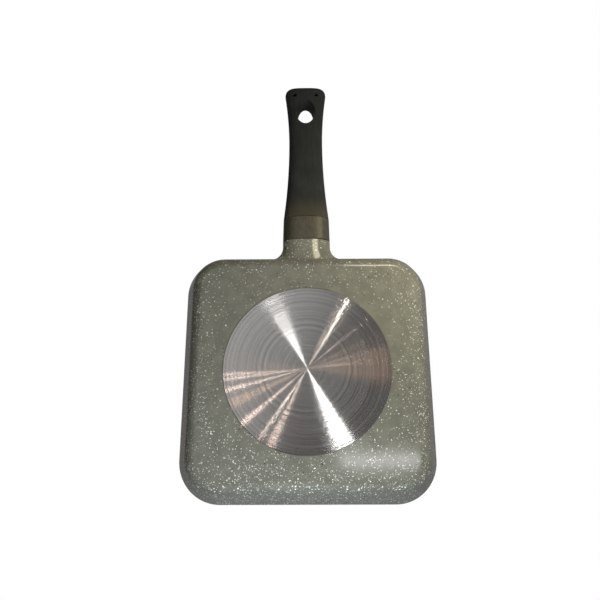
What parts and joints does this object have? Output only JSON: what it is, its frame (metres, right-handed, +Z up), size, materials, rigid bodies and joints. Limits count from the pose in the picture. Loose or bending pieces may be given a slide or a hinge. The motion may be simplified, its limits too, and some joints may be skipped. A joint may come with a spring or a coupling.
{
  "type": "grill pan",
  "caption": "Square shallow cast grill pan with a ribbed floor, sloping walls, an induction disc in its base and a straight bolted handle with a hang hole",
  "frame": {"origin": "centre of the induction disc's underside, on the surface that the pan stands on", "axes": "+Z up out of the pan's mouth, +X from the pan along its handle, +Y to the left of the handle"},
  "size_m": [0.3706, 0.2, 0.0357],
  "materials": {
    "stone_coating": "satin speckled non-stick coating on die-cast aluminium",
    "turned_steel": "turned, concentric grain",
    "ferrule_paint": "satin metallic",
    "soft_touch_grip": "matte soft-touch",
    "plated_steel": "zinc plated"
  },
  "bodies": {
    "root": {"pan_body": "stone_coating", "induction_disc": "turned_steel", "ferrule": "ferrule_paint", "handle_grip": "soft_touch_grip", "handle_bolt": "plated_steel", "spring_washer": "plated_steel", "flat_washer": "plated_steel"}
  },
  "joints": []
}
